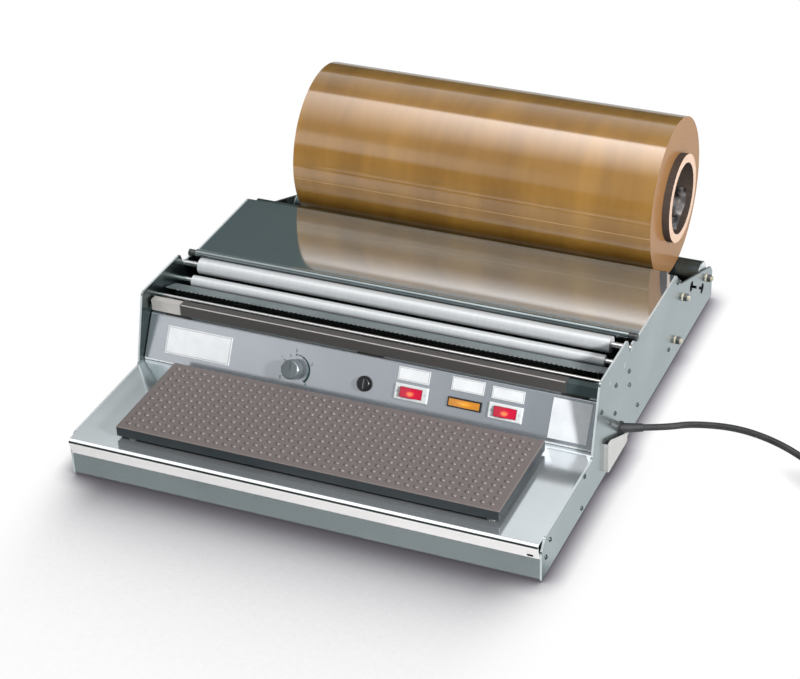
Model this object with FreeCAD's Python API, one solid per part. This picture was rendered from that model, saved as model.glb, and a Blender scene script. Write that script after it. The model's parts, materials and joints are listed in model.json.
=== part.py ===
import FreeCAD, Part
import math
import os

# Table-top film dispenser for wrapping trays. Millimetres, +X right, +Y to the back, +Z up.
# Places are measured from the middle of the width, the front skirt and the table.
# Each piece is moved back by the same amount when it is saved, so that the origin is the bottom centre.

V = FreeCAD.Vector

# Body
body_width = 485.0
panel_sheet = 2.0
cover_sheet = 1.2
floor_gap = 3.0
bend = 1.0
slack = 0.3
running = 0.05

# Side panels
body_depth = 533.0
tray_top = 45.0
shoulder_top = 118.0
deck_top = 102.0
front_corner_y = 9.0
front_corner_z = 34.0
shoulder_foot_y = 138.0
shoulder_head_y = 159.0
shoulder_back_y = 240.0
deck_back_y = 398.0
notch_y = 414.0
notch_z = 83.0
tail_y = 527.0
tail_z = 42.0
tail_corner_z = 34.0
hole_a_y = 454.1
hole_a_z = 57.9
hole_b_y = 495.4
hole_b_z = 32.3
hole_radius = 5.75
hole_link = 2.8

# Tray, plate and feet
nose_y = -6.5
nose_radius = 3.2
bevel_bottom_z = 26.6
skirt_flange = 16.0
floor_vents = (60.0, 150.0)
floor_vent_half = 14.0
floor_vent_pitch = 36.0
foot_radius = 11.0
foot_inset_x = 28.0
foot_front_y = 42.0
foot_back_y = 488.0
plate_width = 394.0
plate_depth = 121.0
plate_thick = 10.5
plate_front_y = 13.0
plate_lift = 3.9
heater_margin = 26.0
heater_thick = 1.5
spacer_radius = 5.0
spacer_inset = 12.0

# Control fascia
fascia_y = 147.0
fascia_run = 24.0
fascia_rise = 43.0
fascia_shelf = 19.0
fascia_foot = 13.0
fascia_end_gap = 1.0
control_height = 22.0
dial_x = -74.0
knob_radius = 10.0
knob_height = 10.5
knob_gap = 0.5
dial_shaft_radius = 3.0
dial_bush_radius = 5.0
dial_case_radius = 13.0
dial_case_length = 22.0
nut_across = 14.0
nut_thick = 2.2
fuse_x = 1.0
fuse_barrel_radius = 6.0
fuse_barrel_length = 32.0
fuse_flange_radius = 7.8
fuse_flange_thick = 2.0
fuse_cap_radius = 6.3
fuse_cap_height = 4.5
fuse_link_radius = 2.6
switch_xs = {"cutter": 50.5, "plate": 148.0}
switch_width = 34.5
switch_height = 15.5
switch_flange = 2.0
switch_body_width = 29.6
switch_body_height = 13.0
switch_body_depth = 20.0
rocker_width = 22.0
rocker_height = 9.7
rocker_depth = 3.0
rocker_ridge = 4.6
rocker_edge = 3.0
rocker_tilt = 6.0
pin_radius = 1.0
pin_wall = 0.4
lamp_x = 106.0
lamp_width = 34.5
lamp_height = 9.8
lamp_flange = 1.6
lamp_rim = 1.4
lamp_body_width = 30.0
lamp_body_height = 6.6
lamp_body_depth = 18.0
lens_ridge = 3.4

# Heated bar, film rod and blade
bar_y = 170.0
bar_depth = 8.0
bar_bottom = 92.0
bar_height = 12.0
bar_tape = 0.5
bar_bare_end = 33.0
bar_end_gap = 2.5
bar_bore = 2.6
block_width = 26.0
block_depth = 15.0
film_rod_y = 187.0
film_rod_z = 100.6
film_rod_radius = 2.0
well_front_y = 190.0
well_back_y = 271.2
well_floor_z = 76.0
blade_front_y = 199.5
blade_top = 101.9
blade_back_y = 223.0
blade_back_z = 93.6
blade_heel_y = 204.0
blade_foot = 11.0
blade_end_gap = 14.5
blade_lug_gap = 1.5
cutter_sheet = 0.8
cutter_height = 11.0
cutter_proud = 0.8
tooth_pitch = 5.0
tooth_depth = 1.2

# Guide rollers
guide_end_gap = 17.5
guide_front_y = 232.0
guide_front_z = 94.5
guide_front_radius = 6.0
guide_front_axle = 3.0
guide_back_y = 250.0
guide_back_z = 102.5
guide_back_radius = 8.5
guide_back_axle = 3.4
axle_proud = 0.6

# Top plate and inner walls
curl_y = 266.0
curl_radius = 5.0
curl_end_gap = 5.0
plate_back_y = 404.0
rear_flange = 8.8
rear_notch = 9.0
side_flange = 12.0
bulkhead_y = 390.0
bulkhead_flange = 12.0
cross_back_y = 531.0
cross_depth = 34.0
cross_height = 15.0

# Support rollers
support_end_gap = 4.5
support_radius = 17.0
support_wall = 2.0
support_front_y = 424.5
support_front_z = 62.0
support_back_y = 511.5
support_back_z = 36.5
support_axle = 4.0
hub_length = 14.0
hub_lip = 1.0
thread_radius = 2.5
thread_depth = 18.0
washer_radius = 4.6
washer_thick = 1.0
axle_nut_across = 8.0
axle_nut_height = 3.5
stud_proud = 7.0
stud_hole = 2.6
tie_y = 402.0
tie_z = 23.0
tie_radius = 4.0

# Film roll
film_radius = 85.0
film_width = 400.0
film_shift = 10.0
core_outer = 47.0
core_inner = 38.0
core_proud = 8.0

# Mains side
cord_radius = 3.3
cord_y = 222.0
cord_z = 28.0
cord_swing = 22.0
grommet_radius = 5.0
grommet_flange = 7.0
grommet_thick = 1.6
sleeve_length = 22.0
sleeve_foot_wall = 1.8
sleeve_tip_wall = 0.7
guard_ahead = 50.0
guard_behind = 8.5
guard_front_top = 42.0
guard_back_top = 18.0
guard_lift = 5.0
guard_proud = 4.6
guard_sheet = 1.0
terminal_y = 300.0
terminal_inset = 90.5
coil_turn_radius = 38.0
coil_rings = 3
coil_layers = 2
coil_x = 520.0
coil_y = 167.4
plug_radius = 18.0
plug_length = 56.0
plug_neck_radius = 7.0
plug_pin_radius = 2.4
plug_pin_length = 19.0
plug_pin_pitch = 19.0

# Worked out from the sizes above
half = body_width / 2
inner = half - panel_sheet
fascia_half = inner - fascia_end_gap
guide_half = inner - guide_end_gap
blade_half = inner - blade_end_gap
support_half = inner - support_end_gap
terminal_x = inner - terminal_inset
tilt = math.atan2(fascia_rise, fascia_run)
fascia_length = math.hypot(fascia_run, fascia_rise)
fascia_top = tray_top + fascia_rise
floor_top = floor_gap + 2 * cover_sheet
axle_gap = math.hypot(support_back_y - support_front_y, support_back_z - support_front_z)
coil_side = coil_turn_radius + cord_radius * (coil_rings + 1) + slack
film_reach = film_radius + slack + support_radius
film_lift = math.sqrt(film_reach ** 2 - (axle_gap / 2) ** 2)
film_y = (support_front_y + support_back_y) / 2 + film_lift * (support_front_z - support_back_z) / axle_gap
film_z = (support_front_z + support_back_z) / 2 + film_lift * (support_back_y - support_front_y) / axle_gap
nose_angle = math.atan2(tray_top - bevel_bottom_z, -nose_y)
nose_tip = nose_y + nose_radius * (1 / math.tan(nose_angle / 2)) - nose_radius
back_shift = -(nose_tip + film_y + film_radius) / 2
stud_places = ((support_front_y, support_front_z), (support_back_y, support_back_z), (tie_y, tie_z))


def unit(vector):
    return vector * (1.0 / vector.Length)


def outline(points, x):
    """Closed face in the plane X = x. Each point is (y, z) or (y, z, corner radius)."""
    corners = []
    count = len(points)
    for index, point in enumerate(points):
        corner = V(x, point[0], point[1])
        radius = point[2] if len(point) > 2 else 0
        if radius == 0:
            corners.append((corner, corner, corner))
            continue
        before = V(x, *points[index - 1][:2])
        after = V(x, *points[(index + 1) % count][:2])
        back = unit(before - corner)
        ahead = unit(after - corner)
        half_angle = back.getAngle(ahead) / 2
        reach = radius / math.tan(half_angle)
        centre = corner + unit(back + ahead) * (radius / math.sin(half_angle))
        middle = centre + unit(corner - centre) * radius
        corners.append((corner + back * reach, middle, corner + ahead * reach))
    edges = []
    for index, (start, middle, end) in enumerate(corners):
        if (end - start).Length > 1e-6:
            edges.append(Part.Arc(start, middle, end).toShape())
        following = corners[(index + 1) % count][0]
        if (following - end).Length > 1e-6:
            edges.append(Part.LineSegment(end, following).toShape())
    return Part.Face(Part.Wire(edges))


def slab(points, x0, x1):
    """Solid between two X places with the given side outline."""
    return outline(points, x0).extrude(V(x1 - x0, 0, 0))


def left_of(direction):
    return V(0, -direction.z, direction.y)


def folded(path, sheet, x0, x1, bend_radius=bend):
    """Folded sheet along a path of (y, z) points, with its thickness on the left of the path."""
    near = []
    far = []
    last = len(path) - 1
    for index, point in enumerate(path):
        here = V(0, *point)
        incoming = unit(here - V(0, *path[index - 1])) if index else None
        outgoing = unit(V(0, *path[index + 1]) - here) if index < last else incoming
        if incoming is None:
            incoming = outgoing
        side = left_of(incoming)
        mitre = unit(side + left_of(outgoing))
        opposite = here + mitre * (sheet / mitre.dot(side))
        turn = incoming.y * outgoing.z - incoming.z * outgoing.y
        radii = (0, 0)
        if turn > 1e-6:
            radii = (bend_radius + sheet, bend_radius)
        elif turn < -1e-6:
            radii = (bend_radius, bend_radius + sheet)
        near.append((here.y, here.z, radii[0]))
        far.append((opposite.y, opposite.z, radii[1]))
    return slab(near + far[::-1], x0, x1)


def rod(y, z, radius, x0, x1):
    return Part.makeCylinder(radius, x1 - x0, V(x0, y, z), V(1, 0, 0))


def pipe(y, z, outer, bore, x0, x1):
    return rod(y, z, outer, x0, x1).cut(rod(y, z, bore, x0, x1))


def block(x0, x1, y0, y1, z0, z1):
    return Part.makeBox(x1 - x0, y1 - y0, z1 - z0, V(x0, y0, z0))


def centred(width, height, z0, z1):
    """Box about the local Z axis, for pieces that sit on the fascia."""
    return block(-width / 2, width / 2, -height / 2, height / 2, z0, z1)


def on_fascia(shape, x):
    """Put a shape drawn about the local Z axis square on the fascia at the control line."""
    placed = shape.copy()
    placed.rotate(V(0, 0, 0), V(1, 0, 0), math.degrees(tilt))
    up = V(0, math.cos(tilt), math.sin(tilt)) * control_height
    placed.translate(V(x, fascia_y, tray_top) + up)
    return placed


def hexagon(across, height):
    """Six-sided block about the local Z axis, with one face across the local Y axis."""
    corner = across / math.sqrt(3)
    points = [V(corner * math.cos(math.radians(60 * k)), corner * math.sin(math.radians(60 * k)), 0)
              for k in range(6)]
    return Part.Face(Part.makePolygon(points + points[:1])).extrude(V(0, 0, height))


def save(shape, node):
    """Write one node, moved back to the shared origin."""
    placed = shape.copy()
    placed.translate(V(0, back_shift, 0))
    placed.exportStep("parts/%s.step" % node)


def side_panel(side):
    """Flat polished side panel with its seats, stud holes and the two linked round holes."""
    x0 = inner if side > 0 else -half
    x1 = x0 + panel_sheet
    seat = guide_back_axle + running
    hump = guide_back_z + 2.5
    points = [
        (0, floor_gap),
        (0, front_corner_z, 3),
        (front_corner_y, tray_top, 4),
        (shoulder_foot_y, tray_top, 3),
        (shoulder_head_y, shoulder_top, 5),
        (shoulder_back_y, shoulder_top, 4),
        (guide_back_y - seat, guide_back_z),
        (guide_back_y + seat, guide_back_z),
        (guide_back_y + seat + 0.8, hump, 0.6),
        (curl_y - curl_radius, hump, 1),
        (curl_y - curl_radius + 2, deck_top),
        (deck_back_y, deck_top, 2),
        (notch_y, notch_z, 4),
        (tail_y, tail_z, 5),
        (body_depth, tail_corner_z, 4),
        (body_depth, floor_gap),
    ]
    panel = slab(points, x0, x1)
    cuts = [
        rod(guide_back_y, guide_back_z, seat, x0, x1),
        rod(guide_front_y, guide_front_z, guide_front_axle + running, x0, x1),
        rod(film_rod_y, film_rod_z, film_rod_radius + running, x0, x1),
        rod(hole_a_y, hole_a_z, hole_radius, x0, x1),
        rod(hole_b_y, hole_b_z, hole_radius, x0, x1),
    ]
    cuts += [rod(y, z, stud_hole, x0, x1) for y, z in stud_places]
    fall = math.degrees(math.atan2(hole_b_z - hole_a_z, hole_b_y - hole_a_y))
    reach = math.hypot(hole_b_z - hole_a_z, hole_b_y - hole_a_y)
    link = block(x0, x1, 0, reach, -hole_link / 2, hole_link / 2)
    link.rotate(V(0, 0, 0), V(1, 0, 0), fall)
    link.translate(V(0, hole_a_y, hole_a_z))
    cuts.append(link)
    if side > 0:
        cuts.append(rod(cord_y, cord_z, grommet_radius + running, x0, x1))
    return panel.cut(cuts)


def tray():
    """Front tray in one sheet: flat top, rolled nose, undercut bevel, skirt and side flanges."""
    near = [
        (fascia_y + fascia_foot, tray_top),
        (nose_y, tray_top, nose_radius),
        (0, bevel_bottom_z, bend),
        (0, floor_gap, bend + cover_sheet),
        (skirt_flange, floor_gap),
    ]
    sheet = cover_sheet
    slope = V(0, -nose_y, bevel_bottom_z - tray_top)
    lean = sheet / math.sin(math.atan2(-slope.z, slope.y))
    far_nose_y = nose_y + lean + sheet / math.tan(nose_angle)
    kink = sheet * math.tan((math.pi / 2 - nose_angle) / 2)
    far = [
        (skirt_flange, floor_gap + sheet),
        (sheet, floor_gap + sheet, bend),
        (sheet, bevel_bottom_z + kink, bend + sheet),
        (far_nose_y, tray_top - sheet, nose_radius - sheet),
        (fascia_y + fascia_foot, tray_top - sheet),
    ]
    shell = slab(near + far, -inner, inner)
    flanges = []
    for side in (-1, 1):
        x0 = inner - sheet if side > 0 else -inner
        flanges.append(block(x0, x0 + sheet, front_corner_y + 3, shoulder_foot_y,
                             tray_top - sheet - side_flange, tray_top - sheet))
    slot_x = inner - 9
    slot_z = bevel_bottom_z + 3
    slot = block(slot_x - 3, slot_x + 3, -8, 4, slot_z - 1.6, slot_z + 1.6)
    wire_hole = Part.makeCylinder(9, 6, V(0, plate_front_y + plate_depth / 2, tray_top - 4))
    return shell.fuse(flanges).cut([slot, wire_hole])


def bottom_plate():
    """Floor sheet with side flanges and two rows of cooling slots."""
    sheet = cover_sheet
    z0 = floor_gap + sheet
    back = cross_back_y - 2 * sheet
    floor = block(-inner, inner, sheet + bend + slack, back, z0, z0 + sheet)
    flanges = []
    for side in (-1, 1):
        x0 = inner - sheet if side > 0 else -inner
        flanges.append(block(x0, x0 + sheet, skirt_flange, bulkhead_y - bulkhead_flange - 2,
                             z0 + sheet, z0 + sheet + side_flange))
    slots = []
    for y in floor_vents:
        for step in range(-4, 5):
            x = step * floor_vent_pitch
            slots.append(block(x - floor_vent_half, x + floor_vent_half, fascia_y + y - 2, fascia_y + y + 2,
                               z0, z0 + sheet))
    return floor.fuse(flanges).cut(slots)


def feet():
    """Four round rubber feet."""
    places = [(way * (half - foot_inset_x), y) for way in (-1, 1) for y in (foot_front_y, foot_back_y)]
    height = floor_gap + cover_sheet
    return Part.makeCompound([Part.makeCone(foot_radius - 1.5, foot_radius, height, V(x, y, 0)) for x, y in places])


def control_fascia():
    """Leaning control panel with its foot on the tray and a shelf for the heated bar."""
    path = [
        (fascia_y + fascia_run + fascia_shelf, fascia_top),
        (fascia_y + fascia_run, fascia_top),
        (fascia_y, tray_top),
        (fascia_y + fascia_foot, tray_top),
    ]
    shell = folded(path, cover_sheet, -fascia_half, fascia_half)
    deep = -cover_sheet - 3
    cuts = [on_fascia(Part.makeCylinder(dial_bush_radius + running, 6, V(0, 0, deep)), dial_x),
            on_fascia(Part.makeCylinder(fuse_barrel_radius + running, 6, V(0, 0, deep)), fuse_x),
            on_fascia(centred(lamp_body_width, lamp_body_height, deep, 2), lamp_x)]
    for x in switch_xs.values():
        cuts.append(on_fascia(centred(switch_body_width, switch_body_height, deep, 2), x))
    return shell.cut(cuts)


def hot_plate():
    """Heavy heated plate with a small round on its upper edges."""
    top = tray_top + plate_lift + plate_thick
    plate = block(-plate_width / 2, plate_width / 2, plate_front_y, plate_front_y + plate_depth,
                  top - plate_thick, top)
    rims = [edge for edge in plate.Edges if edge.CenterOfMass.z > top - plate_thick / 2 - 1]
    return plate.makeFillet(1.2, rims)


def hot_plate_heater():
    """Flat heater pressed to the underside of the hot plate."""
    under = tray_top + plate_lift
    reach = plate_width / 2 - heater_margin
    return block(-reach, reach, plate_front_y + heater_margin / 2, plate_front_y + plate_depth - heater_margin / 2,
                 under - heater_thick, under)


def hot_plate_spacers():
    """Four pillars that carry the hot plate clear of the tray."""
    pillars = []
    for way in (-1, 1):
        x = way * (plate_width / 2 - spacer_inset)
        for y in (plate_front_y + spacer_inset, plate_front_y + plate_depth - spacer_inset):
            pillars.append(Part.makeCylinder(spacer_radius, plate_lift, V(x, y, tray_top)))
    return Part.makeCompound(pillars)


def dial_parts():
    """Thermostat behind the fascia, its nut, its shaft and the knob with its pointer groove."""
    case = Part.makeCylinder(dial_case_radius, dial_case_length, V(0, 0, -cover_sheet - dial_case_length))
    bush_top = nut_thick + 1.5
    bush = Part.makeCylinder(dial_bush_radius, cover_sheet + bush_top, V(0, 0, -cover_sheet))
    shaft_low = -cover_sheet - dial_case_length / 2
    bore = Part.makeCylinder(dial_shaft_radius + running, bush_top - shaft_low, V(0, 0, shaft_low))
    body = case.fuse(bush).cut(bore)
    nut = hexagon(nut_across, nut_thick).cut(Part.makeCylinder(dial_bush_radius + running, nut_thick))
    knob_low = bush_top + knob_gap
    knob_top = knob_low + knob_height
    socket_top = knob_top - 3
    shaft_foot = shaft_low + slack
    shaft = Part.makeCylinder(dial_shaft_radius, socket_top - shaft_foot, V(0, 0, shaft_foot))
    skirt = Part.makeCone(knob_radius, knob_radius - 0.8, knob_height, V(0, 0, knob_low))
    knob = skirt.makeChamfer(0.8, [edge for edge in skirt.Edges if edge.CenterOfMass.z > knob_top - 0.1])
    socket = Part.makeCylinder(dial_shaft_radius, socket_top - knob_low, V(0, 0, knob_low))
    pointer = centred(1.2, knob_radius, knob_top - 0.6, knob_top + 1).translate(V(0, knob_radius / 2, 0))
    return body, nut, shaft, knob.cut([socket, pointer])


def fuse_parts():
    """Fuse holder with its nut, the slotted bayonet cap and the fuse link inside."""
    length = fuse_barrel_length
    barrel = Part.makeCylinder(fuse_barrel_radius, length, V(0, 0, -length))
    flange = Part.makeCylinder(fuse_flange_radius, fuse_flange_thick)
    cap_low = fuse_flange_thick - 1.2
    well = Part.makeCylinder(fuse_cap_radius + running, 1.2, V(0, 0, cap_low))
    stem_radius = fuse_link_radius + 1.2
    stem_low = -8
    bore = Part.makeCylinder(stem_radius + running, cap_low - stem_low + 1, V(0, 0, stem_low))
    link_length = 20
    link_bore = Part.makeCylinder(fuse_link_radius + running, link_length, V(0, 0, stem_low - link_length))
    holder = barrel.fuse(flange).cut([well, bore, link_bore])
    nut_low = -cover_sheet - nut_thick
    nut = hexagon(nut_across + 2, nut_thick).cut(Part.makeCylinder(fuse_barrel_radius + running, nut_thick))
    nut.translate(V(0, 0, nut_low))
    cap_foot = cap_low + running
    head = Part.makeCylinder(fuse_cap_radius, fuse_cap_height, V(0, 0, cap_foot))
    cap_top = cap_foot + fuse_cap_height
    head = head.makeChamfer(0.7, [edge for edge in head.Edges if edge.CenterOfMass.z > cap_top - 0.1])
    stem_foot = stem_low + slack
    stem = Part.makeCylinder(stem_radius, cap_foot - stem_foot, V(0, 0, stem_foot))
    slot = centred(1.6, fuse_cap_radius * 1.7, cap_top - 1.6, cap_top + 1)
    link = Part.makeCylinder(fuse_link_radius, link_length, V(0, 0, stem_low - link_length))
    return holder, nut, head.fuse(stem).cut(slot), link


def rocker_parts():
    """Switch housing with its bezel and recess, and the ridged rocker that tips about an upright pin."""
    bezel = centred(switch_width, switch_height, 0, switch_flange)
    bezel = bezel.makeFillet(0.8, [edge for edge in bezel.Edges if edge.CenterOfMass.z > switch_flange - 0.1])
    body = centred(switch_body_width, switch_body_height, -switch_body_depth, 0)
    edge_reach = math.hypot(rocker_width / 2, rocker_edge) + running
    room = rocker_height / 2 + slack
    recess = centred(2 * (edge_reach + slack), 2 * room, -rocker_depth - 2.5, switch_flange + 1)
    blind = switch_body_height / 2 - pin_wall
    pin_hole = Part.makeCylinder(pin_radius + running, 2 * blind, V(0, -blind, 0), V(0, 1, 0))
    housing = bezel.fuse(body).cut([recess, pin_hole])
    blades = [centred(0.8, 5, -switch_body_depth - 8, -switch_body_depth).translate(V(x, 0, 0))
              for x in (-9, 0, 9)]
    housing = housing.fuse(blades)
    reach = rocker_width / 2
    corners = [V(-reach, 0, -rocker_depth), V(reach, 0, -rocker_depth), V(reach, 0, rocker_edge),
               V(0, 0, rocker_ridge), V(-reach, 0, rocker_edge)]
    face = Part.Face(Part.makePolygon(corners + corners[:1]))
    rocker = face.extrude(V(0, rocker_height, 0)).translate(V(0, -rocker_height / 2, 0))
    pin_end = blind - 2 * running
    pin = Part.makeCylinder(pin_radius, 2 * pin_end, V(0, -pin_end, 0), V(0, 1, 0))
    rocker = rocker.fuse(pin)
    rocker.rotate(V(0, 0, 0), V(0, 1, 0), rocker_tilt)
    return housing, rocker


def lamp_parts():
    """Indicator lamp: black frame with its body, and the roof-shaped lens."""
    frame = centred(lamp_width, lamp_height, 0, lamp_flange)
    body = centred(lamp_body_width, lamp_body_height, -lamp_body_depth, 0)
    lens_x = lamp_width / 2 - lamp_rim
    lens_y = lamp_height / 2 - lamp_rim
    window = centred(2 * lens_x, 2 * lens_y, 0.4, lamp_flange + 1)
    blades = [centred(0.8, 4, -lamp_body_depth - 8, -lamp_body_depth).translate(V(x, 0, 0)) for x in (-8, 8)]
    housing = frame.fuse([body] + blades).cut(window)
    corners = [V(-lens_x, 0, 0.4), V(lens_x, 0, 0.4), V(lens_x, 0, lamp_flange + 0.6),
               V(0, 0, lens_ridge), V(-lens_x, 0, lamp_flange + 0.6)]
    face = Part.Face(Part.makePolygon(corners + corners[:1]))
    lens = face.extrude(V(0, 2 * lens_y, 0)).translate(V(0, -lens_y, 0))
    return housing, lens


def seal_bar_parts():
    """Heated bar with its tape cover short of both ends, its heater rod and heat-proof carrying blocks."""
    reach = inner - bar_end_gap
    y1 = bar_y + bar_depth
    z1 = bar_bottom + bar_height
    middle_y = bar_y + bar_depth / 2
    middle_z = bar_bottom + bar_height / 2
    bar = block(-reach, reach, bar_y, y1, bar_bottom, z1).cut(rod(middle_y, middle_z, bar_bore, -reach, reach))
    covered = reach - bar_bare_end
    tape = block(-covered, covered, bar_y - bar_tape, y1 + bar_tape, bar_bottom, z1 + bar_tape)
    tape = tape.cut(block(-covered, covered, bar_y, y1, bar_bottom, z1))
    heater = rod(middle_y, middle_z, bar_bore - running, -reach + 10, reach - 10)
    places = (-reach + block_width, 0, reach - block_width)
    shelf_y = fascia_y + fascia_run + 1.5
    blocks = [block(x - block_width / 2, x + block_width / 2, shelf_y, shelf_y + block_depth, fascia_top, bar_bottom)
              for x in places]
    return bar, tape, heater, Part.makeCompound(blocks)


def well_pan():
    """Dark trough under the guide rollers."""
    path = [
        (well_front_y, blade_top - 8),
        (well_front_y, well_floor_z),
        (well_back_y, well_floor_z),
        (well_back_y, deck_top - cover_sheet),
    ]
    return folded(path, cover_sheet, -inner, inner)


def blade_parts():
    """Guide plate in front of the rollers and the toothed strip on its front face."""
    floor = well_floor_z + cover_sheet
    path = [
        (blade_back_y, blade_back_z),
        (blade_front_y, blade_top),
        (blade_heel_y, floor),
        (blade_heel_y + blade_foot, floor),
    ]
    reach = blade_half
    back = V(0, blade_back_y, blade_back_z)
    lug_front = back + (V(0, blade_front_y, blade_top) - back) * 0.85
    lug_path = [(back.y, back.z), (lug_front.y, lug_front.z)]
    plate = folded(path, cover_sheet, -reach, reach).fuse([
        folded(lug_path, cover_sheet, reach, inner - blade_lug_gap),
        folded(lug_path, cover_sheet, -inner + blade_lug_gap, -reach)])
    fall = unit(V(0, blade_heel_y - blade_front_y, floor - blade_top))
    out = V(0, fall.z, -fall.y)
    foot = V(0, blade_front_y, blade_top) + fall * (cutter_height + 3)
    top = V(0, blade_front_y, blade_top) - fall * cutter_proud
    corners = [foot, top, top + out * cutter_sheet, foot + out * cutter_sheet]
    strip = slab([(c.y, c.z) for c in corners], -reach, reach)
    count = int(2 * reach / tooth_pitch) - 1
    first = -tooth_pitch * count / 2
    notches = []
    for step in range(count + 1):
        x = first + step * tooth_pitch
        low = top + fall * tooth_depth
        triangle = [V(x, 0, 0) + low, V(x - tooth_pitch / 2, 0, 0) + top, V(x + tooth_pitch / 2, 0, 0) + top]
        raised = [triangle[0], triangle[1] - fall * 0.01, triangle[2] - fall * 0.01]
        face = Part.Face(Part.makePolygon(raised + raised[:1]))
        face.translate(out * -1.0)
        notches.append(face.extrude(out * (cutter_sheet + 2)))
    return merged(plate), strip.cut(Part.makeCompound(notches))


def guide_parts():
    """Two free guide rollers on their fixed axles."""
    front = pipe(guide_front_y, guide_front_z, guide_front_radius, guide_front_axle + running,
                 -guide_half, guide_half)
    back = pipe(guide_back_y, guide_back_z, guide_back_radius, guide_back_axle + running,
                -guide_half, guide_half)
    front_axle = rod(guide_front_y, guide_front_z, guide_front_axle, -half, half)
    back_axle = rod(guide_back_y, guide_back_z, guide_back_axle, -half - axle_proud, half + axle_proud)
    return front, front_axle, back, back_axle


def top_plate():
    """Mirror-bright cover sheet: open curl at the front, side flanges, flange turned down at the back."""
    sheet = cover_sheet
    under = deck_top - sheet
    back = plate_back_y - sheet
    path = [(curl_y, under), (back, under), (back, under - rear_flange)]
    plate = folded(path, sheet, -inner, inner)
    notches = [block(way * inner - rear_notch, way * inner + rear_notch, plate_back_y - rear_notch * 0.7,
                     plate_back_y + 1, under - rear_flange - 1, deck_top + 1) for way in (-1, 1)]
    plate = plate.cut(notches)
    curl_z = under + curl_radius
    curl_end = inner - curl_end_gap
    ring = pipe(curl_y, curl_z, curl_radius, curl_radius - sheet, -curl_end, curl_end)
    open_quarter = block(-inner, inner, curl_y, curl_y + 2 * curl_radius, curl_z - 2 * curl_radius, curl_z)
    curl = ring.cut(open_quarter)
    flanges = []
    for side in (-1, 1):
        x0 = inner - sheet if side > 0 else -inner
        flanges.append(block(x0, x0 + sheet, well_back_y + 2, bulkhead_y - bulkhead_flange - 2,
                             under - side_flange, under))
    return plate.fuse([curl] + flanges)


def plate_rod():
    """Stiffening rod inside the curl; its ends rest on the side panels."""
    radius = curl_radius - cover_sheet - 0.1
    z = deck_top - cover_sheet + curl_radius
    return rod(curl_y, z, radius, -half - 1.5, half + 1.5)


def rear_bulkhead():
    """Upright wall behind the electrics, with cooling slots."""
    path = [
        (bulkhead_y - bulkhead_flange, floor_top),
        (bulkhead_y, floor_top),
        (bulkhead_y, deck_top - cover_sheet),
        (bulkhead_y - bulkhead_flange, deck_top - cover_sheet),
    ]
    wall = folded(path, cover_sheet, -inner, inner)
    slots = [block(x - 2, x + 2, bulkhead_y - 4, bulkhead_y + 2, 35, 75) for x in range(-192, 193, 24)]
    return wall.cut(slots)


def rear_cross_member():
    """Low channel that ties the side panels together at the back."""
    path = [
        (cross_back_y, floor_top + cross_height),
        (cross_back_y, floor_top),
        (cross_back_y - cross_depth, floor_top),
    ]
    return folded([path[2], path[1], path[0]], cover_sheet, -inner, inner)


def support_parts(y, z):
    """One film support roller: tube, two end hubs and its fixed axle."""
    bore = support_radius - support_wall
    tube = pipe(y, z, support_radius, bore, -support_half, support_half)
    hubs = []
    for way in (-1, 1):
        ends = sorted((way * support_half, way * (support_half - hub_length)))
        plug = pipe(y, z, bore - running, support_axle + running, *ends)
        lip = sorted((way * support_half, way * (support_half + hub_lip)))
        hubs.append(plug.fuse(pipe(y, z, support_radius - 1, support_axle + running, *lip)))
    axle = rod(y, z, support_axle, -inner, inner)
    holes = [rod(y, z, thread_radius + running, inner - thread_depth, inner),
             rod(y, z, thread_radius + running, -inner, -inner + thread_depth)]
    return tube, Part.makeCompound(hubs), axle.cut(holes)


def along_x(shape, x, y, z, way):
    """Turn a shape drawn about the local Z axis to point along +X or -X from the given place."""
    placed = shape.copy()
    placed.rotate(V(0, 0, 0), V(0, 1, 0), 90 * way)
    placed.translate(V(x, y, z))
    return placed


def stud_parts():
    """Studs that hold the support axles and the tie rod from outside, with their washers and hexagon nuts."""
    inside = panel_sheet + thread_depth - 3
    stud = Part.makeCylinder(thread_radius, inside + stud_proud, V(0, 0, -inside))
    washer = Part.makeCylinder(washer_radius, washer_thick)
    washer = washer.cut(Part.makeCylinder(stud_hole, washer_thick))
    nut = hexagon(axle_nut_across, axle_nut_height)
    nut = nut.cut(Part.makeCylinder(thread_radius + running, axle_nut_height))
    nut.translate(V(0, 0, washer_thick))
    groups = []
    for piece in (stud, nut, washer):
        placed = [along_x(piece, way * half, y, z, way) for way in (-1, 1) for y, z in stud_places]
        groups.append(Part.makeCompound(placed))
    return groups


def tie_rod():
    """Round bar with threaded ends that holds the side panels apart behind the bulkhead."""
    holes = [rod(tie_y, tie_z, thread_radius + running, inner - thread_depth, inner),
             rod(tie_y, tie_z, thread_radius + running, -inner, -inner + thread_depth)]
    return rod(tie_y, tie_z, tie_radius, -inner, inner).cut(holes)


def film_parts():
    """Film roll wound on its board core."""
    x0 = film_shift - film_width / 2
    x1 = film_shift + film_width / 2
    film = pipe(film_y, film_z, film_radius, core_outer, x0, x1)
    core = pipe(film_y, film_z, core_outer, core_inner, x0 - core_proud, x1 + core_proud)
    return film, core


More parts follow.
